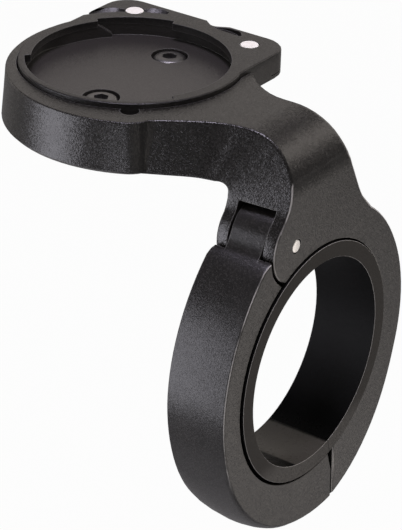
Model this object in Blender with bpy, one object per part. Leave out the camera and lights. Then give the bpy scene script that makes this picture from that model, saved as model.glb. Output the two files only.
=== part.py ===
"""Bike computer mount: a hinged handlebar clamp, a side arm with a round tray, and a bayonet cradle.

The origin is on the handlebar's axis, at the middle of the clamp. X is forward, Y runs along the
handlebar and Z is up. Sizes are in millimetres and are scaled to metres where meshes are made.
"""
import math

import bmesh
import bpy
from mathutils import Vector

MM = 0.001

# Handlebar, sleeve and clamp ring
BAR_RADIUS = 15.9
SLEEVE_WALL = 2.46
SLEEVE_WIDTH = 10.5
SLEEVE_SLIT = 0.06
SLEEVE_SLIT_ANGLE = -106.0
SLEEVE_CHAMFER = 0.12
CLAMP_WIDTH = 9.9
SEAT_GAP_BODY = 0.2
SEAT_GAP_JAW = 0.4
SEAT_STOCK = 1.0
RING_WALL = 5.35
BOSS_WALL = 3.75
JAW_WALL = 3.9
JAW_TOP_WALL = 2.15
JAW_END_WALL = 4.9
EDGE_CHAMFER = 0.3
SEAT_CHAMFER = 0.12
JAW_CROWN = 1.35
BOSS_ROUNDING = 0.65

# Hinge
PIN_ANGLE = 73.5
PIN_STANDOFF = 3.75
PIN_RADIUS = 1.0
PIN_CLEARANCE = 0.1
EAR_RADIUS = 5.5
EAR_CLEARANCE = 0.35
FORK_GAP = 6.1
TONGUE_CLEARANCE = 0.25
TONGUE_RADIUS = 5.2
FORK_CEILING = 5.8
SHOULDER_DEPTH = 0.7
JAW_CREST_ANGLE = -4.0
JAW_SWING = 50.0

# Split of the clamp and its screw
SPLIT_X = -6.55
SPLIT_GAP = 0.3
SPLIT_LEAN = 0.3
SPLIT_NOTCH_DEPTH = 3.4
SPLIT_NOTCH_WIDTH = 1.4
SCREW_POLAR_ANGLE = -115.0
SCREW_POLAR_GAP = 4.45
SHANK_RADIUS = 1.42
SHANK_CLEARANCE = 0.28
SCREW_LENGTH = 14.0
THREAD_REACH = 4.1
HEAD_RADIUS = 2.75
HEAD_HEIGHT = 3.0
HEAD_CLEARANCE = 0.5
SOCKET_ACROSS_FLATS = 2.5
SOCKET_DEPTH = 1.5
WASHER_RADIUS = 3.0
WASHER_THICKNESS = 0.5
NUT_ACROSS_FLATS = 5.5
NUT_THICKNESS = 2.4
NUT_BORE_CLEARANCE = 0.24
SEAT_GAP = 0.2

# Arm between ring and tray
ARM_RISE = 5.36
TRAY_THICKNESS = 7.76
BEND_RADIUS = 8.6
INNER_FILLET = 1.5
ARM_OVERLAP = 5.0
ARM_END_Y = -17.25
ARM_EDGE = 0.35
ARM_REAR_EDGE = 1.1
ARM_INSET = 0.02

# Tray
TRAY_X = -1.26
TRAY_Y = -27.29
TRAY_FRONT_WALL = 3.56
TRAY_DRAFT = 0.6
TRAY_TOP_EDGE = 0.2
TRAY_BOTTOM_EDGE = 0.5
TRAY_REAR_WALL = 1.17
TRAY_REAR_BULGE = 1.2
LOCK_HOLE_RADIUS = 1.37
LOCK_BOSS_RADIUS = 4.09
LOCK_HOLE_ANGLE = 29.5

# Cradle plate
CRADLE_X = -1.32
CRADLE_Y = -29.62
CUP_RADIUS = 15.47
CUP_DEPTH = 2.84
RIM_WALL = 0.91
LIP_REACH = 0.96
LIP_THICKNESS = 1.1
CRADLE_CLEARANCE = 0.2
CRADLE_PROUD = 0.71
PLATE_THICKNESS = 4.0
PLUG_DEPTH = 1.0
PLUG_INSET = 0.25
LOBE_STEP = 0.86
LOBE_OVERHANG = 2.15
LOBE_CORNER = 4.0
CRADLE_EDGE = 0.22
LIP_SECTORS = ((-123.0, -55.0), (60.0, 192.0))
STOP_SPAN = (-82.0, -132.0)
STOP_TOP_ANGLE = -123.0
STOP_FOOT = 0.5
GROOVE_STANDOFF = 1.6
GROOVE_WIDTH = 1.0
GROOVE_DEPTH = 0.5
GROOVE_SECTORS = ((-161.0, -119.0),)
LATCH_SLIT_LENGTH = 1.2
LATCH_SLIT_HEIGHT = 0.18
LATCH_SLIT_RISE = 0.68
LATCH_SLIT_DEPTH = 0.5
LATCH_NOTCH_SPAN = (0.3, 4.6)
LATCH_NOTCH_REACH = 1.3
LATCH_POCKET_SPAN = (2.7, 7.8)
LATCH_POCKET_REACH = 2.1
LATCH_POCKET_WALL = 0.55
LATCH_POCKET_DEPTH = 0.9

# Contact studs, cradle screws and their inserts
STUD_FROM_BACK = 3.72
STUD_FROM_SIDE = 5.02
STUD_RADIUS = 1.4
STUD_CLEARANCE = 0.1
STUD_LENGTH = 2.2
CRADLE_SCREW_MIDDLE = (-0.3, 0.65)
CRADLE_SCREW_FROM_WALL = 6.37
CRADLE_SCREW_TURN = 3.8
LOW_HEAD_RADIUS = 2.5
LOW_HEAD_HEIGHT = 1.25
LOW_HEAD_CLEARANCE = 0.25
LOW_SOCKET_ACROSS_FLATS = 2.0
LOW_SOCKET_DEPTH = 0.8
CRADLE_SCREW_REACH = 4.6
INSERT_RADIUS = 2.1
INSERT_LENGTH = 2.3
INSERT_FLUSH = 0.25

# Facets
RING_STEP = 4.0
SMALL_SIDES = 28

# Values that follow from the sizes above
HALF_WIDTH = CLAMP_WIDTH / 2
SLEEVE_RADIUS = BAR_RADIUS + SLEEVE_WALL
BODY_SEAT = SLEEVE_RADIUS + SEAT_GAP_BODY
JAW_SEAT = SLEEVE_RADIUS + SEAT_GAP_JAW
RING_RADIUS = BODY_SEAT + RING_WALL
PIN_DISTANCE = SLEEVE_RADIUS + PIN_STANDOFF
PIN_X = PIN_DISTANCE * math.cos(math.radians(PIN_ANGLE))
PIN_Z = PIN_DISTANCE * math.sin(math.radians(PIN_ANGLE))
CRADLE_RADIUS = CUP_RADIUS + RIM_WALL
LIP_RADIUS = CUP_RADIUS - LIP_REACH
GROOVE_RADIUS = CRADLE_RADIUS + GROOVE_STANDOFF
LOBE_HALF_WIDTH = CRADLE_RADIUS - LOBE_STEP
LOBE_REACH = CRADLE_RADIUS + LOBE_OVERHANG
STUD_X = STUD_FROM_BACK - LOBE_REACH
STUD_Y = LOBE_HALF_WIDTH - STUD_FROM_SIDE
CRADLE_SCREW_OFFSET = CUP_RADIUS - CRADLE_SCREW_FROM_WALL
TRAY_RADIUS = CRADLE_RADIUS + TRAY_FRONT_WALL
TRAY_REAR_RADIUS = CRADLE_RADIUS + TRAY_REAR_WALL
TRAY_BOTTOM = RING_RADIUS + ARM_RISE
TRAY_TOP = TRAY_BOTTOM + TRAY_THICKNESS
CRADLE_TOP = TRAY_TOP + CRADLE_PROUD
PLATE_BOTTOM = CRADLE_TOP - PLATE_THICKNESS
PLUG_BOTTOM = PLATE_BOTTOM - PLUG_DEPTH
CUP_FLOOR = CRADLE_TOP - CUP_DEPTH
ABOVE = CRADLE_TOP + 5.0
LOCK_HOLE_X = TRAY_X + (TRAY_RADIUS - LOCK_BOSS_RADIUS) * math.cos(math.radians(LOCK_HOLE_ANGLE))
LOCK_HOLE_Y = TRAY_Y + (TRAY_RADIUS - LOCK_BOSS_RADIUS) * math.sin(math.radians(LOCK_HOLE_ANGLE))
TRAY_FRONT_END = TRAY_X + math.sqrt(TRAY_RADIUS ** 2 - (ARM_END_Y - TRAY_Y) ** 2)
TRAY_REAR_END = CRADLE_X - math.sqrt(TRAY_REAR_RADIUS ** 2 - (ARM_END_Y - CRADLE_Y) ** 2)


# Plane geometry

def polar(radius, degrees, centre=(0.0, 0.0)):
    angle = math.radians(degrees)
    return (centre[0] + radius * math.cos(angle), centre[1] + radius * math.sin(angle))


def arc(centre, radius, start, end, step=RING_STEP):
    """Points along a circle from one angle to another; the radius may be a function of the angle."""
    count = max(1, round(abs(end - start) / step))
    angles = [start + (end - start) * i / count for i in range(count + 1)]
    size = radius if callable(radius) else lambda angle: radius
    return [polar(size(angle), angle, centre) for angle in angles]


def smooth(value):
    value = min(1.0, max(0.0, value))
    return value * value * (3.0 - 2.0 * value)


def blend(start, start_angle, end, end_angle, steps=6):
    """A curve between two points that leaves and arrives at the given directions."""
    reach = math.dist(start, end)
    leave, arrive = polar(reach, start_angle), polar(reach, end_angle)
    points = []
    for i in range(steps + 1):
        t = i / steps
        weights = (2 * t ** 3 - 3 * t ** 2 + 1, t ** 3 - 2 * t ** 2 + t,
                   3 * t ** 2 - 2 * t ** 3, t ** 3 - t ** 2)
        points.append(tuple(weights[0] * start[k] + weights[1] * leave[k] + weights[2] * end[k]
                            + weights[3] * arrive[k] for k in (0, 1)))
    return points


def circle_crossing(radius_a, centre_b, radius_b, side):
    """Where a circle about the origin crosses a circle about another centre."""
    distance = math.hypot(*centre_b)
    along = (radius_a ** 2 - radius_b ** 2 + distance ** 2) / (2 * distance)
    across = side * math.sqrt(radius_a ** 2 - along ** 2)
    ux, uz = centre_b[0] / distance, centre_b[1] / distance
    return (along * ux + across * uz, along * uz - across * ux)


def angle_of(point, centre=(0.0, 0.0)):
    return math.degrees(math.atan2(point[1] - centre[1], point[0] - centre[0]))


def inset(outline, distance):
    """Move a closed outline inwards, whichever way round it runs."""
    area = sum(a[0] * b[1] - b[0] * a[1] for a, b in zip(outline, outline[1:] + outline[:1]))
    sign = 1.0 if area > 0 else -1.0
    result = []
    for before, point, after in zip(outline[-1:] + outline[:-1], outline, outline[1:] + outline[:1]):
        first = Vector((point[0] - before[0], point[1] - before[1])).normalized()
        second = Vector((after[0] - point[0], after[1] - point[1])).normalized()
        normal = Vector((-first.y - second.y, first.x + second.x)) * sign
        reach = distance / max(0.5, (1.0 + first.dot(second)) / 2) / 2
        result.append((point[0] + normal.x * reach, point[1] + normal.y * reach))
    return result


def rounded(corners, radii, steps=4):
    """A closed outline with each corner replaced by a smooth curve."""
    result = []
    for i, corner in enumerate(corners):
        here = Vector(corner)
        before = (Vector(corners[i - 1]) - here).normalized() * radii[i]
        after = (Vector(corners[(i + 1) % len(corners)]) - here).normalized() * radii[i]
        for k in range(steps + 1):
            t = k / steps
            point = here + before * (1 - t) ** 2 + after * t ** 2
            result.append((point.x, point.y))
    return result


def through(knots, position):
    """The value at a position on a smooth curve through (position, value) knots."""
    last = len(knots) - 1
    i = 0
    while i < last - 1 and position > knots[i + 1][0]:
        i += 1
    (x0, y0), (x1, y1) = knots[i], knots[i + 1]
    before, after = knots[max(0, i - 1)], knots[min(last, i + 2)]
    span = x1 - x0
    slope_0 = (y1 - before[1]) / (x1 - before[0])
    slope_1 = (after[1] - y0) / (after[0] - x0)
    t = min(1.0, max(0.0, (position - x0) / span))
    start = (2 * t ** 3 - 3 * t ** 2 + 1) * y0 + (t ** 3 - 2 * t ** 2 + t) * span * slope_0
    end = (3 * t ** 2 - 2 * t ** 3) * y1 + (t ** 3 - t ** 2) * span * slope_1
    return start + end


# Meshes

def make_object(name, bm, material=None, origin=(0.0, 0.0, 0.0)):
    """Turn a mesh in millimetres into an object in metres with the given origin."""
    bmesh.ops.recalc_face_normals(bm, faces=bm.faces)
    for vertex in bm.verts:
        vertex.co = (vertex.co - Vector(origin)) * MM
    mesh = bpy.data.meshes.new(name)
    bm.to_mesh(mesh)
    bm.free()
    mesh.shade_smooth()
    mesh.set_sharp_from_angle(angle=math.radians(32))
    thing = bpy.data.objects.new(name, mesh)
    thing.location = Vector(origin) * MM
    bpy.context.scene.collection.objects.link(thing)
    if material:
        mesh.materials.append(material)
    return thing


def loft(name, loops, material=None, origin=(0.0, 0.0, 0.0), closed=False):
    """Skin a row of loops with the same number of points; the ends are capped unless it is closed."""
    bm = bmesh.new()
    rings = [[bm.verts.new(point) for point in loop] for loop in loops]
    pairs = list(zip(rings, rings[1:]))
    if closed:
        pairs.append((rings[-1], rings[0]))
    for lower, upper in pairs:
        for i in range(len(lower)):
            j = (i + 1) % len(lower)
            bm.faces.new((lower[i], lower[j], upper[j], upper[i]))
    if not closed:
        bm.faces.new(rings[0])
        bm.faces.new(rings[-1])
    return make_object(name, bm, material, origin)


def across_bar(name, outline, half_width, chamfer, material=None, origin=(0.0, 0.0, 0.0)):
    """Extrude an outline in X and Z along the handlebar, with chamfered side edges."""
    tight = inset(outline, chamfer)
    levels = [(-half_width, tight), (-half_width + chamfer, outline),
              (half_width - chamfer, outline), (half_width, tight)]
    if chamfer == 0:
        levels = [(-half_width, outline), (half_width, outline)]
    return beside_bar(name, levels, material, origin)


def beside_bar(name, levels, material=None, origin=(0.0, 0.0, 0.0)):
    """Stack outlines in X and Z at places along the handlebar."""
    return loft(name, [[(x, y, z) for x, z in points] for y, points in levels], material, origin)


def upright(name, levels, material=None):
    """Stack outlines in X and Y at rising heights."""
    return loft(name, [[(x, y, height) for x, y in points] for height, points in levels], material)


def turned(name, profile, start, direction, material=None, sides=SMALL_SIDES, origin=(0.0, 0.0, 0.0)):
    """Turn a profile of (distance along the axis, radius) pairs about an axis."""
    axis = Vector(direction).normalized()
    side = axis.cross(Vector((0, 1, 0))) if abs(axis.y) < 0.9 else axis.cross(Vector((1, 0, 0)))
    side.normalize()
    other = axis.cross(side)
    loops = []
    for along, radius in profile:
        centre = Vector(start) + axis * along
        loops.append([tuple(centre + (side * math.cos(a) + other * math.sin(a)) * radius)
                      for a in (2 * math.pi * k / sides for k in range(sides))])
    return loft(name, loops, material, origin)


def hexagon_prism(name, across_flats, start, end, flat_towards, material=None):
    """A hexagonal prism between two points, with a flat facing the given direction."""
    axis = (Vector(end) - Vector(start)).normalized()
    flat = Vector(flat_towards).normalized()
    other = axis.cross(flat)
    corner = across_flats / math.sqrt(3)
    angles = [math.radians(30 + 60 * k) for k in range(6)]
    spokes = [(flat * math.cos(a) + other * math.sin(a)) * corner for a in angles]
    loops = [[tuple(Vector(middle) + spoke) for spoke in spokes] for middle in (start, end)]
    return loft(name, loops, material)


def combine(target, tool, operation):
    modifier = target.modifiers.new(tool.name, "BOOLEAN")
    modifier.operation = operation
    modifier.solver = "EXACT"
    modifier.object = tool
    tool.hide_render = True
    tool.display_type = "WIRE"


def cut(target, *tools):
    for tool in tools:
        combine(target, tool, "DIFFERENCE")


def join(target, *tools):
    for tool in tools:
        combine(target, tool, "UNION")


def plastic(name, colour, roughness, metallic=0.0):
    material = bpy.data.materials.new(name)
    material.use_nodes = True
    shader = material.node_tree.nodes["Principled BSDF"]
    shader.inputs["Base Color"].default_value = (*colour, 1.0)
    shader.inputs["Roughness"].default_value = roughness
    shader.inputs["Metallic"].default_value = metallic
    return material


# Clamp outlines, seen along the handlebar

def body_radius(angle):
    """The ring's outer radius grows into the screw boss towards the split; angles run to -106 degrees."""
    return RING_RADIUS + BOSS_WALL * smooth((-165.0 - angle) / -62.0 if angle < 0 else 0.0)


def jaw_radius(angle):
    """The jaw is thinnest in front and thickens towards the hinge and, more, towards the split."""
    top = JAW_TOP_WALL * max(0.0, (angle - 3.4) / 55.0) ** 2
    return JAW_SEAT + JAW_WALL + top + JAW_END_WALL * smooth((-4.0 - angle) / 120.0)


def split_point(radius, side, lean=0.0):
    """A point on one face of the split: side is -1 for the body and 1 for the jaw."""
    x = SPLIT_X + side * SPLIT_GAP / 2 - lean
    return (x, -math.sqrt(radius ** 2 - x ** 2))


def body_outline():
    pin = (PIN_X, PIN_Z)
    inside = BODY_SEAT - SEAT_STOCK
    ear_foot = circle_crossing(inside, pin, EAR_RADIUS, 1.0)
    outer_end = split_point(RING_RADIUS + BOSS_WALL, -1, SPLIT_LEAN)
    inner_end = split_point(inside, -1)
    outer = arc((0, 0), body_radius, angle_of(outer_end), -180.0) + arc((0, 0), RING_RADIUS, 176.0, 92.0)
    ear = arc(pin, EAR_RADIUS, 100.0, angle_of(ear_foot, pin), 8.0)
    seat = arc((0, 0), inside, angle_of(ear_foot), angle_of(inner_end) + 360.0)
    return outer + ear + seat[1:]


def jaw_outline():
    pin = (PIN_X, PIN_Z)
    shoulder = EAR_RADIUS + EAR_CLEARANCE
    inside = JAW_SEAT - SEAT_STOCK
    shoulder_foot = circle_crossing(inside, pin, shoulder, 1.0)
    outer_end = split_point(jaw_radius(-104.0), 1, SPLIT_LEAN)
    notch_end = split_point(JAW_SEAT + SPLIT_NOTCH_DEPTH, 1)
    inner_end = split_point(inside, 1, -SPLIT_NOTCH_WIDTH)
    crest = polar(shoulder + SHOULDER_DEPTH, JAW_CREST_ANGLE, pin)
    outer = arc((0, 0), jaw_radius, angle_of(crest) - 3.0, angle_of(outer_end))
    seat = arc((0, 0), inside, angle_of(inner_end), angle_of(shoulder_foot))
    under_ear = arc(pin, shoulder, angle_of(shoulder_foot, pin), JAW_CREST_ANGLE, 8.0)
    return [crest] + outer + [notch_end] + seat + under_ear[1:]


def tongue_reach(angle):
    """The tongue's radius about the pin, less where it passes the sleeve as the jaw swings open."""
    towards_bar = PIN_ANGLE + 180.0
    nearest = math.radians(min(90.0, max(0.0, towards_bar - JAW_SWING - angle)))
    across = PIN_DISTANCE * math.sin(nearest)
    if across >= JAW_SEAT:
        return TONGUE_RADIUS
    return min(TONGUE_RADIUS, PIN_DISTANCE * math.cos(nearest) - math.sqrt(JAW_SEAT ** 2 - across ** 2))


def tongue_outline():
    pin = (PIN_X, PIN_Z)
    crest = polar(EAR_RADIUS + EAR_CLEARANCE + SHOULDER_DEPTH, JAW_CREST_ANGLE, pin)
    down_band = angle_of(crest) - 88.0
    front = polar(jaw_radius(angle_of(crest) - 6.0) - 0.05, angle_of(crest) - 6.0)
    inside = polar(JAW_SEAT + JAW_WALL / 2, 45.0)
    root = polar(JAW_SEAT - 2.0, 52.0)
    top = arc(pin, tongue_reach, PIN_ANGLE + 172.0, 26.0, 6.0)
    return top + blend(top[-1], -64.0, crest, down_band)[1:] + [front, inside, root]


def lowered(outline, drop):
    """Move a clamp outline's outer side down: by the full drop at the split, by nothing at mid height."""
    result = []
    for x, z in outline:
        outside = math.hypot(x, z) > JAW_SEAT + SPLIT_NOTCH_DEPTH + 0.3
        share = smooth((-z / RING_RADIUS - 0.4) / 0.6) if outside else 0.0
        result.append((x, z - drop * share))
    return result


def clamp_half(name, outline, drops, material, origin=(0.0, 0.0, 0.0)):
    """One half of the clamp, as (distance in from its side face, drop of the outer side) pairs."""
    levels = [(HALF_WIDTH, inset(lowered(outline, drops[0][1]), EDGE_CHAMFER))]
    levels += [(HALF_WIDTH - depth, lowered(outline, drop)) for depth, drop in drops]
    return beside_bar(name, [(-y, points) for y, points in levels] + levels[::-1], material, origin)


# Clamp screw, square to a line from the hinge so that it swings clear with the jaw

SCREW_FOOT = polar(SLEEVE_RADIUS + SCREW_POLAR_GAP, SCREW_POLAR_ANGLE)
FROM_PIN = Vector((SCREW_FOOT[0] - PIN_X, 0.0, SCREW_FOOT[1] - PIN_Z)).normalized()
SCREW_AXIS = Vector((-FROM_PIN.z, 0.0, FROM_PIN.x))


def on_screw(along):
    """The point of the screw's axis at a distance from the middle of its thread, towards the head."""
    return Vector((SCREW_FOOT[0], 0.0, SCREW_FOOT[1])) + SCREW_AXIS * along


SEAT_ALONG = SCREW_LENGTH - THREAD_REACH - WASHER_THICKNESS - SEAT_GAP


# Arm: sections run up from the ring, round the bend and along to the tray

def arm_station(position):
    """Outer and inner corner lines of the arm at 0 to 1 (upright), 1 to 2 (bend) and 2 to 3 (level)."""
    side = HALF_WIDTH - ARM_INSET
    start = RING_RADIUS - ARM_OVERLAP
    bend = (side - BEND_RADIUS, TRAY_TOP - BEND_RADIUS)
    fillet = (-side - INNER_FILLET, TRAY_BOTTOM - INNER_FILLET)
    if position <= 1.0:
        return ((side, start + (bend[1] - start) * position),
                (-side, start + (fillet[1] - start) * position))
    if position <= 2.0:
        angle = (position - 1.0) * 90.0
        return (polar(BEND_RADIUS, angle, bend), polar(INNER_FILLET, angle, fillet))
    t = position - 2.0
    outer = bend[0] + (ARM_END_Y - bend[0]) * t
    inner = fillet[0] + (ARM_END_Y - fillet[0]) * t
    return ((outer, TRAY_TOP), (inner, TRAY_BOTTOM))


# Front and rear edges of the arm, as (position along the arm, X); they end beside the tray's wall
FRONT_OUTER = [(0.0, 8.7), (0.31, 11.25), (0.58, 10.55), (0.9, 8.4), (1.61, 6.75), (1.94, 7.05),
               (2.27, 8.0), (2.72, TRAY_FRONT_END - 4.1), (3.0, TRAY_FRONT_END - 1.0)]
FRONT_INNER = [(0.0, 8.6), (0.35, 11.2), (0.94, 9.3), (2.13, 10.75), (2.66, TRAY_FRONT_END - 2.4),
               (3.0, TRAY_FRONT_END - 0.3)]
REAR_OUTER = [(0.0, -14.6), (0.14, -13.4), (0.38, -11.25), (0.9, -8.6), (1.4, -6.35), (2.17, -4.95),
              (2.6, TRAY_REAR_END + 6.2), (2.8, TRAY_REAR_END + 3.3), (3.0, TRAY_REAR_END + 0.7)]
REAR_SLOPE = 2.2


def arm_section(position):
    """One cross-section of the arm: a four-sided shape with rounded corners."""
    outer, inner = (Vector(point) for point in arm_station(position))
    depth = (outer - inner).length
    rear = through(REAR_OUTER, position)
    rear_inner = rear - REAR_SLOPE * smooth((position - 1.9) / 0.8)
    corners = [(rear_inner, 0.0), (through(FRONT_INNER, position), 0.0),
               (through(FRONT_OUTER, position), depth), (rear, depth)]
    section = rounded(corners, [ARM_REAR_EDGE, ARM_EDGE, ARM_EDGE, ARM_REAR_EDGE], 3)
    points = []
    for x, across in section:
        spot = inner + (outer - inner) * (across / depth)
        points.append((x, spot.x, spot.y))
    return points


def make_arm():
    positions = [i / 9 for i in range(9)] + [1 + i / 11 for i in range(11)]
    positions += [2 + i / 10 for i in range(11)]
    return loft("arm_form", [arm_section(position) for position in positions])


# Tray and cradle outlines, seen from above

def tray_outline(growth, rear_growth):
    """The tray's wall: a large arc in front, the lock hole's boss, and a smaller arc behind the cup."""
    front = arc((TRAY_X, TRAY_Y), TRAY_RADIUS + growth, -106.0, LOCK_HOLE_ANGLE)
    boss = arc((LOCK_HOLE_X, LOCK_HOLE_Y), LOCK_BOSS_RADIUS + growth, LOCK_HOLE_ANGLE, 88.0, 8.0)
    hidden = [(TRAY_X + 6.0, ARM_END_Y + 4.0), (TRAY_X - 4.0, ARM_END_Y + 4.0)]
    rear = arc((CRADLE_X, CRADLE_Y), TRAY_REAR_RADIUS + rear_growth, 116.0, 248.0)
    return front + boss[1:] + hidden + rear


def make_tray():
    middle = (TRAY_TOP + TRAY_BOTTOM) / 2
    levels = [
        (TRAY_BOTTOM, tray_outline(TRAY_DRAFT - TRAY_BOTTOM_EDGE, -TRAY_BOTTOM_EDGE)),
        (TRAY_BOTTOM + TRAY_BOTTOM_EDGE, tray_outline(TRAY_DRAFT, 0.6 * TRAY_REAR_BULGE)),
        (middle, tray_outline(TRAY_DRAFT / 2, TRAY_REAR_BULGE)),
        (TRAY_TOP - TRAY_TOP_EDGE, tray_outline(0.0, 0.0)),
        (TRAY_TOP, tray_outline(-TRAY_TOP_EDGE, -TRAY_TOP_EDGE)),
    ]
    return upright("tray_form", levels)


def cradle_outline(growth=0.0):
    """A round rim that widens behind into two square lobes."""
    centre = (CRADLE_X, CRADLE_Y)
    radius = CRADLE_RADIUS + growth
    half = LOBE_HALF_WIDTH + growth
    back = CRADLE_X - LOBE_REACH - growth
    corner = LOBE_CORNER + growth
    meet = 180.0 - math.degrees(math.asin(half / radius))
    left = arc((back + corner, CRADLE_Y + half - corner), corner, 90.0, 180.0, 15.0)
    right = arc((back + corner, CRADLE_Y - half + corner), corner, 180.0, 270.0, 15.0)
    return arc(centre, radius, -meet, meet) + left + right


def lip_outline():
    """The cup's mouth: narrow where a bayonet lip overhangs and full width between the lips."""
    points = []
    sectors = sorted(LIP_SECTORS)
    for i, (start, end) in enumerate(sectors):
        following = sectors[(i + 1) % len(sectors)][0] + (360.0 if i == len(sectors) - 1 else 0.0)
        points += arc((CRADLE_X, CRADLE_Y), LIP_RADIUS, start, end)
        points += arc((CRADLE_X, CRADLE_Y), CUP_RADIUS - 0.05, end + 0.5, following - 0.5)
    return points


def ring_sector(name, inner, outer, start, end, bottom, top):
    centre = (CRADLE_X, CRADLE_Y)
    outline = arc(centre, inner, start, end) + arc(centre, outer, end, start)
    return upright(name, [(bottom, outline), (top, outline)])


def make_stop():
    """The bayonet's end stop: a block below one lip with a slanted end."""
    centre = (CRADLE_X, CRADLE_Y)
    slope = (CRADLE_TOP - LIP_THICKNESS / 2, CUP_FLOOR + STOP_FOOT)
    loops = []
    for step in range(11):
        angle = STOP_SPAN[0] + (STOP_SPAN[1] - STOP_SPAN[0]) * step / 10
        down = max(0.0, (angle - STOP_TOP_ANGLE) / (STOP_SPAN[1] - STOP_TOP_ANGLE))
        top = slope[0] + (slope[1] - slope[0]) * down
        ramp = smooth(step / 5)
        inner = polar(CUP_RADIUS + 0.1 + (LIP_RADIUS - CUP_RADIUS) * ramp, angle, centre)
        outer = polar(CUP_RADIUS + 0.4, angle, centre)
        loops.append([(*inner, CUP_FLOOR - 0.2), (*outer, CUP_FLOOR - 0.2), (*outer, top), (*inner, top)])
    return loft("stop_form", loops)


def round_cutter(name, x, y, radius, bottom, top, sides=SMALL_SIDES):
    return turned(name, [(0.0, radius), (top - bottom, radius)], (x, y, bottom), (0, 0, 1), sides=sides)


def cradle_screw_places():
    """Names and places of the two cradle screws, which stand on a slightly turned line."""
    middle = (CRADLE_X + CRADLE_SCREW_MIDDLE[0], CRADLE_Y + CRADLE_SCREW_MIDDLE[1])
    front = polar(CRADLE_SCREW_OFFSET, CRADLE_SCREW_TURN, middle)
    rear = polar(-CRADLE_SCREW_OFFSET, CRADLE_SCREW_TURN, middle)
    return (("front", *front), ("rear", *rear))


def box(name, low, high):
    outline = [(low[0], low[1]), (high[0], low[1]), (high[0], high[1]), (low[0], high[1])]
    return upright(name, [(low[2], outline), (high[2], outline)])


def pin_hole_cutter(name):
    radius = PIN_RADIUS + PIN_CLEARANCE
    start = (PIN_X, -CLAMP_WIDTH, PIN_Z)
    return turned(name, [(0.0, radius), (2 * CLAMP_WIDTH, radius)], start, (0, 1, 0))


def seat_cutter(name, radius):
    """The bore that the sleeve sits in, opened by a chamfer at both sides of the clamp."""
    inner, outer, reach = HALF_WIDTH - SEAT_CHAMFER, HALF_WIDTH + 1.0, radius + SEAT_CHAMFER + 1.0
    profile = [(-outer, reach), (-inner, radius), (inner, radius), (outer, reach)]
    return turned(name, profile, (0.0, 0.0, 0.0), (0, 1, 0), sides=round(360 / RING_STEP))


# Assembly, from the body outwards

def build_body(material):
    rounding = [(EDGE_CHAMFER, -BOSS_ROUNDING), (EDGE_CHAMFER + 0.4 * BOSS_ROUNDING, -0.45 * BOSS_ROUNDING),
                (EDGE_CHAMFER + BOSS_ROUNDING, -0.1 * BOSS_ROUNDING), (3 * BOSS_ROUNDING, 0.0)]
    body = clamp_half("mount_body", body_outline(), rounding, material)
    join(body, make_arm(), make_tray())
    seat = seat_cutter("body_seat_cutter", BODY_SEAT)
    ceiling = PIN_Z + FORK_CEILING
    slot_back = PIN_X - TONGUE_RADIUS - EAR_CLEARANCE
    slot = box("fork_slot_cutter", (slot_back, -FORK_GAP / 2, 0.0),
               (PIN_X + 3 * EAR_RADIUS, FORK_GAP / 2, ceiling))
    recess = cradle_outline(CRADLE_CLEARANCE)
    plate_recess = upright("plate_recess_cutter", [(PLATE_BOTTOM - CRADLE_CLEARANCE, recess), (ABOVE, recess)])
    plug_radius = CRADLE_RADIUS - PLUG_INSET + CRADLE_CLEARANCE
    plug_recess = round_cutter("plug_recess_cutter", CRADLE_X, CRADLE_Y, plug_radius,
                               PLUG_BOTTOM - CRADLE_CLEARANCE, PLATE_BOTTOM, round(360 / RING_STEP))
    lock_hole = round_cutter("lock_hole_cutter", LOCK_HOLE_X, LOCK_HOLE_Y, LOCK_HOLE_RADIUS,
                             TRAY_BOTTOM - 1.0, ABOVE)
    cut(body, seat, slot, pin_hole_cutter("ear_hole_cutter"), plate_recess, plug_recess, lock_hole)
    for name, x, y in cradle_screw_places():
        cut(body, round_cutter(f"insert_hole_cutter_{name}", x, y, INSERT_RADIUS + STUD_CLEARANCE,
                               TRAY_BOTTOM - 1.0, PLATE_BOTTOM))
    shank = SHANK_RADIUS + SHANK_CLEARANCE
    screw_hole = turned("body_screw_hole_cutter", [(0.0, shank), (THREAD_REACH + 12.0, shank)],
                        on_screw(-THREAD_REACH - 0.8), SCREW_AXIS)
    cut(body, screw_hole, make_nut_slot())
    return body


def make_nut_slot():
    """A pocket in the boss's outer side that the captive nut slides into."""
    half = NUT_ACROSS_FLATS / 2 + SEAT_GAP
    along = NUT_THICKNESS / 2 + SEAT_GAP
    depth = NUT_ACROSS_FLATS / math.sqrt(3) + SEAT_GAP
    middle = on_screw(0.0)
    loops = []
    for out in (-depth, -depth / 2, depth + BOSS_WALL + RING_WALL):
        width = half if out > -depth else half * 0.1
        corners = ((-along, -width), (along, -width), (along, width), (-along, width))
        centre = middle + FROM_PIN * out
        loops.append([tuple(centre + SCREW_AXIS * a + Vector((0, 1, 0)) * w) for a, w in corners])
    return loft("nut_slot_cutter", loops)


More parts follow.
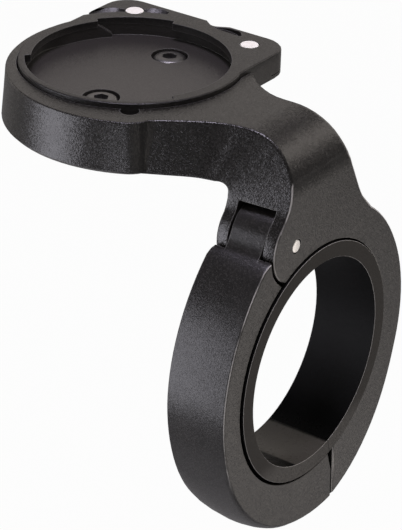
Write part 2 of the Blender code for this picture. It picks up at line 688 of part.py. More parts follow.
def build_jaw(material):
    origin = (PIN_X, 0.0, PIN_Z)
    crown = [(EDGE_CHAMFER, 0.0), (0.7 * JAW_CROWN, 0.4 * JAW_CROWN), (1.6 * JAW_CROWN, 0.7 * JAW_CROWN),
             (3.2 * JAW_CROWN, 0.95 * JAW_CROWN)]
    jaw = clamp_half("lower_jaw", jaw_outline(), crown, material, origin)
    tongue = across_bar("tongue_form", tongue_outline(), FORK_GAP / 2 - TONGUE_CLEARANCE, 0.0)
    seat = seat_cutter("jaw_seat_cutter", JAW_SEAT)
    join(jaw, tongue)
    cut(jaw, seat, pin_hole_cutter("tongue_hole_cutter"))
    shank = SHANK_RADIUS + SHANK_CLEARANCE
    hole = [(0.0, shank), (SCREW_LENGTH, shank)]
    screw_hole = turned("jaw_screw_hole_cutter", hole, on_screw(0.0), SCREW_AXIS)
    head = HEAD_RADIUS + HEAD_CLEARANCE
    counterbore = turned("counterbore_cutter", [(0.0, head), (2 * SCREW_LENGTH, head)],
                         on_screw(SEAT_ALONG), SCREW_AXIS)
    cut(jaw, screw_hole, counterbore)
    return jaw


def build_hinge_pin(material):
    length = CLAMP_WIDTH
    edge = 0.15
    profile = [(0.0, PIN_RADIUS - edge), (edge, PIN_RADIUS),
               (length - edge, PIN_RADIUS), (length, PIN_RADIUS - edge)]
    return turned("hinge_pin", profile, (PIN_X, -length / 2, PIN_Z), (0, 1, 0), material)


def build_sleeve(material):
    slit = math.degrees(SLEEVE_SLIT / SLEEVE_RADIUS) / 2
    start, end = SLEEVE_SLIT_ANGLE + slit, SLEEVE_SLIT_ANGLE - slit + 360.0
    half = SLEEVE_WIDTH / 2
    levels = []
    for y, chamfer in ((-half, SLEEVE_CHAMFER), (SLEEVE_CHAMFER - half, 0.0),
                       (half - SLEEVE_CHAMFER, 0.0), (half, SLEEVE_CHAMFER)):
        outside = arc((0, 0), SLEEVE_RADIUS - chamfer, start, end)
        levels.append((y, outside + arc((0, 0), BAR_RADIUS + chamfer, end, start)))
    return beside_bar("bar_sleeve", levels, material)


def build_clamp_screw(steel, dark_steel):
    shoulder = SCREW_LENGTH - THREAD_REACH
    edge = 0.25
    profile = [(-THREAD_REACH, SHANK_RADIUS - edge), (-THREAD_REACH + edge, SHANK_RADIUS),
               (shoulder, SHANK_RADIUS), (shoulder, HEAD_RADIUS), (shoulder + HEAD_HEIGHT - edge, HEAD_RADIUS),
               (shoulder + HEAD_HEIGHT, HEAD_RADIUS - edge)]
    origin = tuple(on_screw(0.0))
    screw = turned("clamp_screw", profile, origin, SCREW_AXIS, dark_steel, origin=origin)
    top = shoulder + HEAD_HEIGHT
    cut(screw, hexagon_prism("clamp_socket_cutter", SOCKET_ACROSS_FLATS, on_screw(top - SOCKET_DEPTH),
                             on_screw(top + 1.0), (0, 1, 0)))
    washer = turned("clamp_washer", [(0.0, WASHER_RADIUS), (WASHER_THICKNESS, WASHER_RADIUS)],
                    on_screw(shoulder - WASHER_THICKNESS - SEAT_GAP / 2), SCREW_AXIS, steel)
    cut(washer, turned("washer_hole_cutter", [(0.0, SHANK_RADIUS + 0.15), (3.0, SHANK_RADIUS + 0.15)],
                       on_screw(shoulder - 2.0), SCREW_AXIS))
    nut = hexagon_prism("clamp_nut", NUT_ACROSS_FLATS, on_screw(-NUT_THICKNESS / 2),
                        on_screw(NUT_THICKNESS / 2), (0, 1, 0), steel)
    bore = SHANK_RADIUS + NUT_BORE_CLEARANCE
    nut_bore = [(0.0, bore), (2 * NUT_THICKNESS, bore)]
    cut(nut, turned("nut_bore_cutter", nut_bore, on_screw(-NUT_THICKNESS), SCREW_AXIS))
    return screw, washer, nut


def build_cradle(material):
    edge = CRADLE_EDGE
    plate = upright("cradle", [
        (PLATE_BOTTOM, cradle_outline(-edge)), (PLATE_BOTTOM + edge, cradle_outline()),
        (CRADLE_TOP - edge, cradle_outline()), (CRADLE_TOP, cradle_outline(-edge))], material)
    sides = round(360 / RING_STEP)
    plug = round_cutter("plug_form", CRADLE_X, CRADLE_Y, CRADLE_RADIUS - PLUG_INSET, PLUG_BOTTOM,
                        PLATE_BOTTOM + 0.5, sides)
    lip_bottom = CRADLE_TOP - LIP_THICKNESS
    cup = round_cutter("cup_cutter", CRADLE_X, CRADLE_Y, CUP_RADIUS, CUP_FLOOR, lip_bottom, sides)
    mouth = upright("mouth_cutter", [(lip_bottom - 0.01, lip_outline()), (ABOVE, lip_outline())])
    join(plate, plug)
    cut(plate, cup, mouth)
    join(plate, make_stop())
    seat = CUP_FLOOR - LOW_HEAD_HEIGHT - SEAT_GAP / 2
    head = LOW_HEAD_RADIUS + LOW_HEAD_CLEARANCE
    shank = SHANK_RADIUS + SHANK_CLEARANCE
    for name, x, y in cradle_screw_places():
        cut(plate, round_cutter(f"low_head_cutter_{name}", x, y, head, seat, ABOVE),
            round_cutter(f"cradle_screw_hole_cutter_{name}", x, y, shank, PLUG_BOTTOM - 1.0, ABOVE))
    stud_bottom = CRADLE_TOP - STUD_LENGTH - STUD_CLEARANCE
    for name, side in (("left", -1), ("right", 1)):
        cut(plate, round_cutter(f"stud_hole_cutter_{name}", CRADLE_X + STUD_X, CRADLE_Y + side * STUD_Y,
                                STUD_RADIUS + STUD_CLEARANCE, stud_bottom, ABOVE))
    inner, outer = GROOVE_RADIUS - GROOVE_WIDTH / 2, GROOVE_RADIUS + GROOVE_WIDTH / 2
    for i, (start, end) in enumerate(GROOVE_SECTORS):
        cut(plate, ring_sector(f"groove_cutter_{i + 1}", inner, outer, start, end,
                               CRADLE_TOP - GROOVE_DEPTH, ABOVE))
    cut(plate, make_latch_slit(), make_latch_notch(), make_latch_pocket())
    return plate


def make_latch_slit():
    """A narrow slit low in the lobe's side wall, which runs on round its corner."""
    centre = (CRADLE_X - LOBE_REACH + LOBE_CORNER, CRADLE_Y + LOBE_HALF_WIDTH - LOBE_CORNER)
    end = centre[0] + LATCH_SLIT_LENGTH
    inner, outer = LOBE_CORNER - LATCH_SLIT_DEPTH, LOBE_CORNER + 1.0
    outline = ([(end, centre[1] + inner)] + arc(centre, inner, 90.0, 150.0, 12.0)
               + arc(centre, outer, 150.0, 90.0, 12.0) + [(end, centre[1] + outer)])
    bottom = PLATE_BOTTOM + LATCH_SLIT_RISE
    return upright("latch_slit_cutter", [(bottom, outline), (bottom + LATCH_SLIT_HEIGHT, outline)])


def make_latch_notch():
    """A shallow step in the cradle's back edge, open to the rear."""
    back = CRADLE_X - LOBE_REACH
    start, end = (CRADLE_Y + place for place in LATCH_NOTCH_SPAN)
    inner = back + LATCH_NOTCH_REACH
    outline = rounded([(back - 1.0, start), (back + 0.2, start), (inner, start + 1.5), (inner, end - 2.0),
                       (back + 0.2, end), (back - 1.0, end)], [0.1, 0.2, 0.35, 0.4, 0.3, 0.1])
    return upright("latch_notch_cutter", [(TRAY_TOP, outline), (ABOVE, outline)])


def make_latch_pocket():
    """A narrow pocket along the cradle's back edge, whose floor slopes down to one end."""
    back = CRADLE_X - LOBE_REACH
    start, end = (CRADLE_Y + place for place in LATCH_POCKET_SPAN)
    far, near = back + LATCH_POCKET_WALL, back + LATCH_POCKET_REACH
    outline = rounded([(near - 0.4, start), (far, start + 1.9), (far, end - 1.1), (near - 0.3, end),
                       (near + 0.1, end - 0.3), (near - 0.1, start + 0.7)], [0.15, 0.6, 0.6, 0.2, 0.2, 0.5])
    floor = [(x, y, CRADLE_TOP - 0.1 - LATCH_POCKET_DEPTH * (y - start) / (end - start)) for x, y in outline]
    return loft("latch_pocket_cutter", [floor, [(x, y, ABOVE) for x, y in outline]])


def build_studs(material):
    edge = 0.12
    for name, side in (("left", -1), ("right", 1)):
        profile = [(0.0, STUD_RADIUS), (STUD_LENGTH - edge, STUD_RADIUS), (STUD_LENGTH, STUD_RADIUS - edge)]
        start = (CRADLE_X + STUD_X, CRADLE_Y + side * STUD_Y, CRADLE_TOP - STUD_LENGTH)
        turned(f"contact_stud_{name}", profile, start, (0, 0, 1), material)


def build_cradle_screws(steel, brass):
    for name, x, y in cradle_screw_places():
        seat = CUP_FLOOR - LOW_HEAD_HEIGHT
        profile = [(-CRADLE_SCREW_REACH + 1.0, SHANK_RADIUS - 0.2), (-CRADLE_SCREW_REACH + 1.2, SHANK_RADIUS),
                   (0.0, SHANK_RADIUS), (0.0, LOW_HEAD_RADIUS), (LOW_HEAD_HEIGHT - 0.45, LOW_HEAD_RADIUS),
                   (LOW_HEAD_HEIGHT - 0.15, LOW_HEAD_RADIUS - 0.35), (LOW_HEAD_HEIGHT, LOW_HEAD_RADIUS - 0.95)]
        screw = turned(f"cradle_screw_{name}", profile, (x, y, seat), (0, 0, 1), steel, origin=(x, y, seat))
        cut(screw, hexagon_prism(f"low_socket_cutter_{name}", LOW_SOCKET_ACROSS_FLATS,
                                 (x, y, CUP_FLOOR - LOW_SOCKET_DEPTH), (x, y, ABOVE), (1, 0, 0)))
        top = PLUG_BOTTOM - CRADLE_CLEARANCE - INSERT_FLUSH
        insert = turned(f"threaded_insert_{name}", [(0.0, INSERT_RADIUS), (INSERT_LENGTH, INSERT_RADIUS)],
                        (x, y, top - INSERT_LENGTH), (0, 0, 1), brass)
        bore = SHANK_RADIUS + 0.15
        cut(insert, round_cutter(f"insert_bore_cutter_{name}", x, y, bore, top - INSERT_LENGTH - 1.0, top + 1.0))


def main():
    for thing in list(bpy.data.objects):
        bpy.data.objects.remove(thing, do_unlink=True)
    black = plastic("black_plastic", (0.018, 0.017, 0.016), 0.55)
    sleeve = plastic("sleeve_plastic", (0.03, 0.03, 0.029), 0.6)
    steel = plastic("steel", (0.72, 0.71, 0.68), 0.25, 1.0)
    dark_steel = plastic("black_steel", (0.05, 0.05, 0.05), 0.35, 1.0)
    brass = plastic("brass", (0.72, 0.55, 0.26), 0.3, 1.0)
    cream = plastic("cream_contact", (0.82, 0.8, 0.72), 0.4)
    build_body(black)
    build_jaw(black)
    build_hinge_pin(steel)
    build_sleeve(sleeve)
    build_clamp_screw(steel, dark_steel)
    build_cradle(black)
    build_studs(cream)
    build_cradle_screws(dark_steel, brass)


main()
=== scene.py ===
import math

import bmesh
import bpy
from mathutils import Matrix, Vector


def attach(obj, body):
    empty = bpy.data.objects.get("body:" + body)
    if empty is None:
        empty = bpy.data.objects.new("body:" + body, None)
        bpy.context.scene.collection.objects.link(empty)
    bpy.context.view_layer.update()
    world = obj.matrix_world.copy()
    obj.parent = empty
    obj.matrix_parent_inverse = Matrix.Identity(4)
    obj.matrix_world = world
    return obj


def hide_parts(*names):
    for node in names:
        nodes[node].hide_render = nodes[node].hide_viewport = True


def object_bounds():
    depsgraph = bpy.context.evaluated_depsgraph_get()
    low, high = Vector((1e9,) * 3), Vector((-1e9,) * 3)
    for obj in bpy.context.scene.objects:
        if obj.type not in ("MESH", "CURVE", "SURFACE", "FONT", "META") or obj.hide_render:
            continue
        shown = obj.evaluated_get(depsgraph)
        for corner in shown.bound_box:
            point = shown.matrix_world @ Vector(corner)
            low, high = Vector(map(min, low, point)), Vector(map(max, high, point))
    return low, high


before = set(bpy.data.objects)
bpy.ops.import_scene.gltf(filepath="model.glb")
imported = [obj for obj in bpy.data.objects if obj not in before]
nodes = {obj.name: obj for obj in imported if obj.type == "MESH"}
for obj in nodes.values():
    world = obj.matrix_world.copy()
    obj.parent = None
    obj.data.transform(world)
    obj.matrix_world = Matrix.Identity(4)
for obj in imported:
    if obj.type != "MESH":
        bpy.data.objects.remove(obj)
cad_low, cad_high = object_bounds()

# The mount body: the upper half of the clamp ring, the arm that bends over sideways, and the round tray.
# It is one moulding in glass-filled black nylon. The mould is spark eroded, so every face has a fine grain,
# and its outer edges are painted a little paler, as painted highlights. Sizes in the finishes are in
# millimetres.
EDGE_ROUNDING = 0.13
EDGE_SAMPLES = 8
EDGE_TURN = (0.015, 0.12)
CORNER_BEGINS = (0.3, 0.6)
CORNER_ENDS = (0.85, 0.97)


class Value:
    """One output of a shader node, which takes part in plain arithmetic."""

    def __init__(self, finish, socket):
        self.finish = finish
        self.socket = socket

    def worked_out(self, operation, first, second):
        return self.finish.add("ShaderNodeMath", {"operation": operation}, {0: first, 1: second})

    def __add__(self, other):
        return self.worked_out("ADD", self, other)

    def __radd__(self, other):
        return self.worked_out("ADD", other, self)

    def __sub__(self, other):
        return self.worked_out("SUBTRACT", self, other)

    def __rsub__(self, other):
        return self.worked_out("SUBTRACT", other, self)

    def __mul__(self, other):
        return self.worked_out("MULTIPLY", self, other)

    def __rmul__(self, other):
        return self.worked_out("MULTIPLY", other, self)


class Finish:
    """A material with one Principled shader; numbers that never vary go straight to the shader's sockets."""

    def __init__(self, name, **fixed):
        self.material = bpy.data.materials.new(name)
        self.material.use_nodes = True
        self.tree = self.material.node_tree
        self.shader = self.tree.nodes["Principled BSDF"]
        for socket, value in fixed.items():
            self.shader.inputs[socket.replace("_", " ")].default_value = value

    def add(self, kind, settings=None, values=None, output=0):
        """Add a node, set its settings first and then its sockets, and hand back one output."""
        made = self.tree.nodes.new(kind)
        for name, value in (settings or {}).items():
            setattr(made, name, value)
        for socket, value in (values or {}).items():
            if isinstance(value, Value):
                self.tree.links.new(value.socket, made.inputs[socket])
            else:
                made.inputs[socket].default_value = value
        return Value(self, made.outputs[output])

    def feed(self, **results):
        """Join what varies over the surface to the shader."""
        for socket, value in results.items():
            self.tree.links.new(value.socket, self.shader.inputs[socket.replace("_", " ")])

    def place(self):
        """Where the surface is on its piece, in metres."""
        return self.add("ShaderNodeTexCoord", output="Object")

    def noise(self, millimetres, detail=3.0, roughness=0.5):
        """Cloudy noise about a half, with features of the given size."""
        return self.add("ShaderNodeTexNoise", {}, {"Vector": self.place(), "Scale": 1000.0 / millimetres,
                                                   "Detail": detail, "Roughness": roughness})

    def pebbles(self, millimetres, output="Distance"):
        """Small grains of about the given size: rising from each middle, or a random Color for each."""
        return self.add("ShaderNodeTexVoronoi", {}, {"Vector": self.place(), "Scale": 1000.0 / millimetres},
                        output=output)

    def pebble_levels(self, millimetres):
        """A random level from 0 to 1 for each small grain."""
        return self.add("ShaderNodeSeparateColor", {}, {"Color": self.pebbles(millimetres, "Color")})

    def between(self, low, high, value):
        """0 below low, 1 above high and smooth between them."""
        return self.add("ShaderNodeMapRange", {"interpolation_type": "SMOOTHSTEP"},
                        {"Value": value, "From Min": low, "From Max": high})

    def mix(self, factor, first, second):
        """Blend two colours: a Mix node's colours are its sockets 6 and 7, and its output 2."""
        return self.add("ShaderNodeMix", {"data_type": "RGBA"}, {0: factor, 6: first, 7: second}, output=2)

    def along(self, axis):
        """Where the surface is along an axis of its piece, X, Y or Z, in millimetres."""
        return 1000.0 * self.add("ShaderNodeSeparateXYZ", {}, {"Vector": self.place()}, output=axis)

    def towards(self, axis):
        """How far the surface faces along an axis of its piece, X, Y or Z, either way."""
        direction = self.add("ShaderNodeTexCoord", output="Normal")
        part = self.add("ShaderNodeSeparateXYZ", {}, {"Vector": direction}, output=axis)
        return self.add("ShaderNodeMath", {"operation": "ABSOLUTE"}, {0: part})

    def softened(self, millimetres):
        """The surface's direction with its edges rounded off."""
        return self.add("ShaderNodeBevel", {"samples": EDGE_SAMPLES}, {"Radius": millimetres / 1000.0})

    def tilted(self, millimetres, amount):
        """The softened direction, leaning its own way on each small grain, so that single grains glint."""
        lean = self.pebbles(millimetres, "Color")
        centred = self.add("ShaderNodeVectorMath", {"operation": "SUBTRACT"}, {0: lean, 1: (0.5, 0.5, 0.5)})
        leaning = self.add("ShaderNodeVectorMath", {"operation": "MULTIPLY_ADD"},
                           {0: centred, 1: amount, 2: self.softened(EDGE_ROUNDING)})
        return self.add("ShaderNodeVectorMath", {"operation": "NORMALIZE"}, {0: leaning})

    def bump(self, strength, height, direction, millimetres=0.1):
        """The given direction, disturbed by bumps up to so many millimetres high."""
        return self.add("ShaderNodeBump", {}, {"Strength": strength, "Distance": millimetres / 1000.0,
                                               "Height": height, "Normal": direction})

    def corner(self):
        """1 on a corner that turns between a side face, square to the bar, and the rest, and 0 on both."""
        turning = self.towards("Y")
        return self.between(*CORNER_BEGINS, turning) * (1.0 - self.between(*CORNER_ENDS, turning))

    def edges(self, millimetres):
        """1 where the surface turns an edge within the distance, and 0 on open faces."""
        plain = self.add("ShaderNodeNewGeometry", output="Normal")
        agreement = self.add("ShaderNodeVectorMath", {"operation": "DOT_PRODUCT"},
                             {0: self.softened(millimetres), 1: plain}, output="Value")
        return self.between(*EDGE_TURN, 1.0 - agreement)


NYLON = (0.008, 0.0071, 0.0064, 1.0)
NYLON_SPECK = (0.03, 0.028, 0.026, 1.0)
NYLON_EDGE_HIGHLIGHT = (0.2, 0.197, 0.19, 1.0)
PAINTED_CORNER_HIGHLIGHT = (0.4, 0.385, 0.37, 1.0)
GRAIN_SIZE = 0.17
GRAIN_SHARE = 0.7
LEANING_GRAIN_SIZE = 0.16
MOTTLE_SIZE = 0.4
CLOUD_SIZE = 3.5
SPECK_LEVELS = (0.6, 0.95)
SPECK_SHARE = 0.8
CLOUD_LEVELS = (0.35, 0.75)
CLOUD_SHARE = 0.2
EDGE_REACH = 0.2
NEAR_SIDE = (4.4, 4.6)
HIGHLIGHT_FADE = 4.0
HIGHLIGHT_PATCHES = (0.25, 0.5)
SIDE_ROUGHER = 0.06
PITS_ROUGHER = 0.1


def moulded(name, grain=0.3, tilt=0.16, side_tilt=0.16, roughness=0.2, edge=0.6, highlight_above=None,
            painted_light_colour=None, painted_light_heights=None):
    """Grained nylon: each grain leans its own way and glints, over a faint mottle and painted edge
    highlights.
    """
    finish = Finish(name)
    colour = NYLON
    # Painted light: everything below the given heights is painted in the paler given colour.
    if painted_light_colour:
        colour = finish.mix(finish.between(*painted_light_heights, finish.along("Z")), painted_light_colour, NYLON)
    mottle = finish.noise(MOTTLE_SIZE, roughness=0.6)
    pits = GRAIN_SHARE * finish.pebbles(GRAIN_SIZE) + (1.0 - GRAIN_SHARE) * mottle
    cloud = finish.noise(CLOUD_SIZE)
    side = finish.towards("Y")
    specks = finish.between(*SPECK_LEVELS, finish.pebble_levels(GRAIN_SIZE)) * SPECK_SHARE
    colour = finish.mix(specks, colour, NYLON_SPECK)
    colour = finish.mix(finish.between(*CLOUD_LEVELS, cloud) * CLOUD_SHARE, colour, NYLON_SPECK)
    # Painted highlight: every turned edge is painted paler, as if it caught the light.
    colour = finish.mix(finish.edges(EDGE_REACH) * edge, colour, NYLON_EDGE_HIGHLIGHT)
    # Painted highlight: near-side corners above the given height are painted pale, in patches.
    if highlight_above is not None:
        near = finish.between(*NEAR_SIDE, finish.along("Y"))
        high = finish.between(highlight_above - HIGHLIGHT_FADE, highlight_above + HIGHLIGHT_FADE, finish.along("Z"))
        patches = finish.between(*HIGHLIGHT_PATCHES, cloud)
        colour = finish.mix(finish.corner() * (near * high) * patches, colour, PAINTED_CORNER_HIGHLIGHT)
    leaning = finish.tilted(LEANING_GRAIN_SIZE, tilt + (side_tilt - tilt) * side)
    finish.feed(Base_Color=colour,
                Roughness=roughness + SIDE_ROUGHER * side + PITS_ROUGHER * pits,
                Normal=finish.bump(grain, pits, leaning))
    return finish.material


WELD_DISTANCE = 0.000002
LEVEL_TOLERANCE = 0.00004
FLAT_DEGREES = 0.3
SHARP_DEGREES = 50.0


def dressed(node_name, body, material, level=None):
    """A finer dress for a CAD node: its faces welded into one skin and shaded smooth between real edges.

    With level, points about so far from the middle are set right on it, which makes the side faces flat.
    """
    skin = bmesh.new()
    skin.from_mesh(nodes[node_name].data)
    for vertex in skin.verts:
        if level and abs(abs(vertex.co.y) - level) < LEVEL_TOLERANCE:
            vertex.co.y = math.copysign(level, vertex.co.y)
    bmesh.ops.remove_doubles(skin, verts=skin.verts, dist=WELD_DISTANCE)
    bmesh.ops.dissolve_limit(skin, angle_limit=math.radians(FLAT_DEGREES), verts=skin.verts, edges=skin.edges)
    for face in skin.faces:
        face.smooth = True
    for edge in skin.edges:
        edge.smooth = edge.is_manifold and edge.calc_face_angle(0.0) < math.radians(SHARP_DEGREES)
    mesh = bpy.data.meshes.new(f"{node_name}_skin")
    skin.to_mesh(mesh)
    skin.free()
    mesh.materials.append(material)
    piece = bpy.data.objects.new(f"{node_name}_skin", mesh)
    piece.matrix_world = nodes[node_name].matrix_world
    bpy.context.scene.collection.objects.link(piece)
    even = piece.modifiers.new("even_shading", "WEIGHTED_NORMAL")
    even.keep_sharp = True
    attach(piece, body)
    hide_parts(node_name)
    return piece


CLAMP_HALF_WIDTH = 0.00495
# The body's near corners above this height get the painted corner highlight.
BODY_HIGHLIGHT_ABOVE = -40.0
nylon = moulded("grained_black_nylon", highlight_above=BODY_HIGHLIGHT_ABOVE)
dressed("mount_body", "mount", nylon, level=CLAMP_HALF_WIDTH)

# The handlebar sleeve: a split ring in softer plastic that sits in the clamp's seat and grips the bar.
# It is plain and matt, and its inside is polished a little by the bar.
SLEEVE_FACE = (0.036, 0.033, 0.03, 1.0)
BORE_PAINTED_SHADE = (0.002, 0.002, 0.002, 1.0)
BORE_PAINTED_REFLECTION = (0.075, 0.069, 0.062, 1.0)
SLEEVE_SHINE = 0.13
SLEEVE_CLOUD_SIZE = 0.6
SLEEVE_GRAIN_SIZE = 0.2
SLEEVE_BUMP = 0.1
BORE_LEAN = 0.04
SIDE_LEAN = 0.1
BORE_ROUGHNESS = 0.25
MATT_ROUGHER = 0.3
CLOUD_ROUGHER = 0.06
SIDE_TURN = (0.5, 0.8)
REFLECTION_BELOW = (-15.45, -15.3)
MATT_ABOVE = (-14.5, -11.0)


def polished_bore():
    """Plain plastic, side faces lightly grained, bore smooth; painted shade and reflection in the bore,
    painted corner highlights.
    """
    finish = Finish("smooth_sleeve", Specular_IOR_Level=SLEEVE_SHINE)
    side = finish.between(*SIDE_TURN, finish.towards("Y"))
    cloud = finish.noise(SLEEVE_CLOUD_SIZE)
    # The bore is painted near black as painted shade, and paler along its bottom as a painted reflection.
    bore_shade_and_reflection = finish.mix(finish.between(*REFLECTION_BELOW, finish.along("Z")), BORE_PAINTED_REFLECTION, BORE_PAINTED_SHADE)
    matt = finish.between(*MATT_ABOVE, finish.along("Z"))
    leaning = finish.tilted(SLEEVE_GRAIN_SIZE, BORE_LEAN + SIDE_LEAN * side)
    # Painted highlight: the sleeve's corners are painted pale with the same colour as the body's corner
    # highlight.
    finish.feed(Base_Color=finish.mix(finish.corner(), finish.mix(side, bore_shade_and_reflection, SLEEVE_FACE), PAINTED_CORNER_HIGHLIGHT),
                Roughness=BORE_ROUGHNESS + MATT_ROUGHER * matt + CLOUD_ROUGHER * cloud,
                Normal=finish.bump(SLEEVE_BUMP, cloud, leaning))
    return finish.material


dressed("bar_sleeve", "mount", polished_bore())

# The lower jaw: the other half of the clamp, hinged in the body's fork at its upper end.
# It is the same nylon as the body, from a mould with a slightly coarser grain on its side faces.
# The jaw's near corners above this height get the painted corner highlight.
JAW_HIGHLIGHT_ABOVE = -10.0
jaw_nylon = moulded("grained_jaw_nylon", grain=0.15, tilt=0.08, side_tilt=0.25, roughness=0.27,
                    highlight_above=JAW_HIGHLIGHT_ABOVE)
dressed("lower_jaw", "jaw", jaw_nylon)

# The hinge pin: a plain steel dowel through the jaw's tongue and both of the body's ears.
# It is pushed in from the side and ground bright at its ends.
STEEL = (0.83, 0.82, 0.8, 1.0)
TOOL_MARK_SIZE = 0.12
TOOL_MARK_DEPTH = 0.02
TOOL_MARK_BUMP = 0.15
METAL_DETAIL = 2.0
PATCH_SIZE = 0.8
PATCH_SHARE = 0.35
PATCH_DARKNESS = 0.7
PATCH_ROUGHNESS = 0.06
METAL_ROUNDING = 0.08


def metal(name, colour, roughness):
    """Turned or rolled metal with faint tool marks and darker patches."""
    finish = Finish(name, Metallic=1.0)
    marks = finish.noise(TOOL_MARK_SIZE, METAL_DETAIL)
    patch = finish.noise(PATCH_SIZE, METAL_DETAIL)
    rounded = finish.softened(METAL_ROUNDING)
    darker = tuple(PATCH_DARKNESS * channel for channel in colour[:3]) + (1.0,)
    finish.feed(Base_Color=finish.mix(patch * PATCH_SHARE, colour, darker),
                Roughness=roughness - PATCH_ROUGHNESS / 2 + PATCH_ROUGHNESS * patch,
                Normal=finish.bump(TOOL_MARK_BUMP, marks, rounded, TOOL_MARK_DEPTH))
    return finish.material


dressed("hinge_pin", "mount", metal("bright_steel", STEEL, roughness=0.28))

# The clamp screw with its washer and captive nut: they close the jaw on the bar from below.
# All three are steel: the screw is blackened, and the washer and the nut are zinc plated.
BLACKENED = (0.05, 0.05, 0.052, 1.0)
ZINC = (0.62, 0.62, 0.6, 1.0)
zinc = metal("zinc_plate", ZINC, roughness=0.33)
blackened = metal("blackened_steel", BLACKENED, roughness=0.38)
dressed("clamp_screw", "screw", blackened)
dressed("clamp_washer", "jaw", zinc)
dressed("clamp_nut", "mount", zinc)

# The cradle: a separate plate set into the tray, with the bayonet cup, its lips and two square lobes.
# It is moulded in the same black nylon, with a finer and smoother face, and painted paler low in the cup as
# painted light.
# Painted light: the paler colour painted on the cup's floor and the foot of its wall.
CUP_FLOOR_PAINTED_LIGHT = (0.032, 0.029, 0.027, 1.0)
CUP_WALL_HEIGHTS = (36.3, 37.5)
cradle_nylon = moulded("smooth_cradle_nylon", grain=0.2, tilt=0.12, side_tilt=0.12, roughness=0.3, edge=0.4,
                       painted_light_colour=CUP_FLOOR_PAINTED_LIGHT, painted_light_heights=CUP_WALL_HEIGHTS)
cradle = dressed("cradle", "mount", cradle_nylon)

# The groove in the lobe beside the left stud, cut round the cup's own middle. The top edge of its outer wall
# stands back, so that the wall leans outward and catches the light. Its sizes are in millimetres.
GROOVE_CENTRE = Vector((-1.32, -29.62))
GROOVE_RADIUS = 18.48
GROOVE_SECTOR = (-159.0, -127.0)
GROOVE_OPENED = 0.8
TOP_FACE = 37.74
TOP_TOLERANCE = 0.03
WALL_TOLERANCE = 0.05
LEFT_STUD = Vector((-16.13, -40.12))
STUD_ROOM = 1.75


def open_groove(piece):
    """Move the top edge of the groove's outer wall outward, except close to the stud."""
    for vertex in piece.data.vertices:
        x, y, height = vertex.co * 1000.0
        outward = Vector((x, y)) - GROOVE_CENTRE
        heading = math.degrees(math.atan2(outward.y, outward.x))
        on_top = abs(height - TOP_FACE) < TOP_TOLERANCE
        on_wall = abs(outward.length - GROOVE_RADIUS) < WALL_TOLERANCE
        in_sector = GROOVE_SECTOR[0] < heading < GROOVE_SECTOR[1]
        clear_of_stud = (Vector((x, y)) - LEFT_STUD).length > STUD_ROOM
        if on_top and on_wall and in_sector and clear_of_stud:
            vertex.co += (outward.normalized() * GROOVE_OPENED / 1000.0).to_3d()


open_groove(cradle)

# The contact studs: two cream plugs in the cradle's lobes, which stand flush with its top face.
# They are smooth plastic, a little dusty in patches.
CREAM = (0.86, 0.84, 0.78, 1.0)
CREAM_DUSTY = (0.78, 0.75, 0.68, 1.0)
DUST_SIZE = 0.7
DUST_LEVELS = (0.4, 0.7)
PLUG_ROUGHNESS = 0.36
DUST_ROUGHER = 0.1


def cream_plug():
    """Smooth cream plastic with dusty patches, which are rougher."""
    finish = Finish("cream_plug")
    cloud = finish.noise(DUST_SIZE)
    finish.feed(Base_Color=finish.mix(finish.between(*DUST_LEVELS, cloud), CREAM, CREAM_DUSTY),
                Roughness=PLUG_ROUGHNESS + DUST_ROUGHER * cloud)
    return finish.material


cream = cream_plug()
dressed("contact_stud_left", "mount", cream)
dressed("contact_stud_right", "mount", cream)

# The cradle screws, low headed and blackened, which hold the cradle down through the cup's floor.
# Each turns into a knurled brass insert in the tray.
DARK_HEAD = (0.19, 0.186, 0.182, 1.0)
BRASS = (0.72, 0.55, 0.27, 1.0)
low_head = metal("dark_screw_head", DARK_HEAD, roughness=0.42)
brass = metal("plain_brass", BRASS, roughness=0.34)
for end in ("front", "rear"):
    dressed(f"cradle_screw_{end}", "mount", low_head)
    dressed(f"threaded_insert_{end}", "mount", brass)

# The studio floor: pale, plain and matt, well below the mount, which hangs as if on its bar.
# The camera sees it almost white, with a small share left for the mount's shadow.
FLOOR_DROP = 0.2
FLOOR_HALF = 3.0
FLOOR_COLOUR = (0.4, 0.4, 0.4, 1.0)
SHADOW_SHARE = 0.03


def pale_floor():
    """Matt and pale; the camera sees it as white, with a share left of the real surface and its shadow."""
    finish = Finish("pale_floor", Base_Color=FLOOR_COLOUR, Roughness=0.9, Specular_IOR_Level=0.0)
    seen = finish.add("ShaderNodeLightPath", output="Is Camera Ray")
    white = finish.add("ShaderNodeEmission", {}, {"Strength": 1.0})
    mixed = finish.add("ShaderNodeMixShader", {}, {0: seen * (1.0 - SHADOW_SHARE), 2: white})
    finish.tree.links.new(finish.shader.outputs["BSDF"], mixed.socket.node.inputs[1])
    finish.tree.links.new(mixed.socket, finish.tree.nodes["Material Output"].inputs["Surface"])
    return finish.material


floor_level = cad_low.z - FLOOR_DROP
corner_signs = ((-1, -1), (1, -1), (1, 1), (-1, 1))
floor_corners = [(x * FLOOR_HALF, y * FLOOR_HALF, floor_level) for x, y in corner_signs]
floor_mesh = bpy.data.meshes.new("floor")
floor_mesh.from_pydata(floor_corners, [], [(0, 1, 2, 3)])
floor_mesh.materials.append(pale_floor())
floor = bpy.data.objects.new("floor", floor_mesh)
bpy.context.scene.collection.objects.link(floor)

# The room: white to the camera and through clear things, and dim as a light.
# It is a small share of white in reflections, because black plastic would turn grey in a white room.
ROOM_GLOW = 0.3
ROOM_IN_GLOSS = 0.08
WHITE = (1.0, 1.0, 1.0, 1.0)
MIX_FIRST, MIX_SECOND = 2, 3

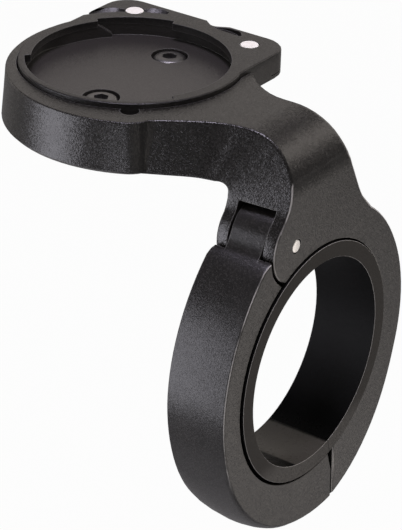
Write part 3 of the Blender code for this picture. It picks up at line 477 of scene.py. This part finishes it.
room = bpy.data.worlds.new("studio_room")
room.use_nodes = True
bpy.context.scene.world = room
room_nodes, room_links = room.node_tree.nodes, room.node_tree.links
rays = room_nodes.new("ShaderNodeLightPath")
as_light = room_nodes.new("ShaderNodeMix")
as_light.inputs[MIX_FIRST].default_value = ROOM_GLOW
as_light.inputs[MIX_SECOND].default_value = ROOM_IN_GLOSS
straight = room_nodes.new("ShaderNodeMath")
straight.operation = "MAXIMUM"
strength = room_nodes.new("ShaderNodeMix")
strength.inputs[MIX_SECOND].default_value = 1.0
room_links.new(rays.outputs["Is Glossy Ray"], as_light.inputs[0])
room_links.new(rays.outputs["Is Camera Ray"], straight.inputs[0])
room_links.new(rays.outputs["Is Transmission Ray"], straight.inputs[1])
room_links.new(straight.outputs[0], strength.inputs[0])
room_links.new(as_light.outputs[0], strength.inputs[MIX_FIRST])
room_links.new(strength.outputs[0], room_nodes["Background"].inputs["Strength"])
room_nodes["Background"].inputs["Color"].default_value = WHITE

# The lamps: wide warm ones above, behind and at the clamp's side, and a cool one low in front of the jaw.
# Two narrow strips draw the bright lines down the tray's wall and along the clamp's front edges, a violet one
# overhead lights the groove, and the last two reach the sides that the camera doesn't see.
MIDDLE = Vector((0.0, -0.012, 0.008))
WARM = (1.0, 0.92, 0.85)
COOL = (0.93, 0.915, 1.0)
VIOLET = (0.86, 0.8, 1.0)


def direction(azimuth, elevation):
    """The way to a compass angle and a height, both in degrees."""
    turn = math.radians(azimuth)
    lift = math.radians(elevation)
    return Vector((math.cos(lift) * math.cos(turn), math.cos(lift) * math.sin(turn), math.sin(lift)))


def softbox(name, azimuth, elevation, distance, size, radiance, colour):
    """A soft rectangular lamp in a direction from the mount, facing it; its brightness is 1 for white."""
    lamp = bpy.data.lights.new(name, "AREA")
    lamp.shape = "RECTANGLE"
    lamp.size, lamp.size_y = size
    lamp.energy = radiance * math.pi * size[0] * size[1]
    lamp.color = colour
    away = direction(azimuth, elevation)
    thing = bpy.data.objects.new(name, lamp)
    thing.location = MIDDLE + away * distance
    thing.rotation_mode = "QUATERNION"
    thing.rotation_quaternion = away.to_track_quat("Z", "Y")
    thing.visible_camera = False
    bpy.context.scene.collection.objects.link(thing)


softbox("rear_softbox", -145.0, 28.0, 0.9, (0.9, 0.62), 0.56, WARM)
softbox("top_softbox", 60.0, 80.0, 0.9, (0.5, 0.5), 1.15, WARM)
softbox("low_softbox", -38.0, -5.0, 0.3, (0.18, 0.26), 3.9, COOL)
softbox("side_softbox", 122.0, -28.0, 0.24, (0.16, 0.13), 1.4, WARM)
softbox("high_side_softbox", 147.0, 32.0, 0.6, (0.35, 0.25), 2.0, WARM)
softbox("strip_softbox", 15.0, -16.0, 0.26, (0.026, 0.06), 13.0, COOL)
softbox("edge_softbox", 57.0, 0.0, 0.26, (0.014, 0.2), 3.5, WARM)
softbox("groove_softbox", -20.0, 86.0, 0.4, (0.16, 0.12), 16.0, VIOLET)
softbox("back_softbox", 178.0, 4.0, 0.9, (0.6, 0.5), 0.9, WARM)
softbox("far_softbox", -92.0, 6.0, 0.9, (0.5, 0.5), 0.9, WARM)

# The camera, at the photograph's viewing angle, solved from the clamp's two faces and the cradle's rim.
# Its focal length is in pixels of the photograph, whose longer side is its height.
EYE = Vector((0.27003, 0.17210, 0.18163))
AZIMUTH, ELEVATION, ROLL = 34.778, 27.694, 1.660
FOCAL_PIXELS = 2537.5
FRAME_HEIGHT = 530
SENSOR_SIZE = 36.0
NEAREST_SEEN = 0.01
FARTHEST_SEEN = 20.0

heading = math.radians(AZIMUTH)
roll = math.radians(ROLL)
back = direction(AZIMUTH, ELEVATION)
level_right = Vector((-math.sin(heading), math.cos(heading), 0.0))
level_up = back.cross(level_right)
right = level_right * math.cos(roll) + level_up * math.sin(roll)
up = level_up * math.cos(roll) - level_right * math.sin(roll)
camera_data = bpy.data.cameras.new("camera")
camera_data.sensor_width = SENSOR_SIZE
camera_data.lens = FOCAL_PIXELS / FRAME_HEIGHT * SENSOR_SIZE
camera_data.clip_start = NEAREST_SEEN
camera_data.clip_end = FARTHEST_SEEN
camera = bpy.data.objects.new("camera", camera_data)
camera.matrix_world = Matrix.Translation(EYE) @ Matrix((right, up, back)).transposed().to_4x4()
bpy.context.scene.collection.objects.link(camera)
bpy.context.scene.camera = camera

bpy.context.scene.view_settings.view_transform = "Standard"
